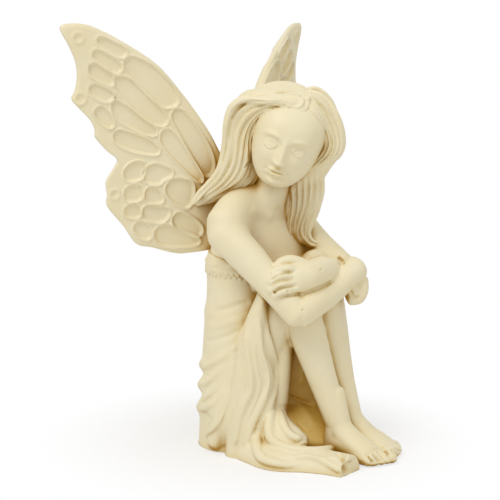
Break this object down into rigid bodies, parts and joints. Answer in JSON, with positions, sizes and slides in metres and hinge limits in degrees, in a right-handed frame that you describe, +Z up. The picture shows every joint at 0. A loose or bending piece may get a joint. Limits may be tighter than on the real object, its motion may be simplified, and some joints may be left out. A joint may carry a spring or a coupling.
{
  "type": "fairy figurine",
  "caption": "Seated winged fairy figurine cast in one solid piece, hugging her drawn-up knees, with a flat underside that rests on a shelf or garden stone.",
  "frame": {"origin": "on the flat underside, below the middle of her hips", "axes": "+Z up, -Y the way her knees point, +X towards her left hand side"},
  "size_m": [0.1403, 0.1245, 0.1867],
  "materials": {
    "casting": "matte ivory cast resin, lightly waxed, ochre in the hollows"
  },
  "bodies": {
    "root": {"fairy_figurine": "casting"}
  },
  "joints": []
}
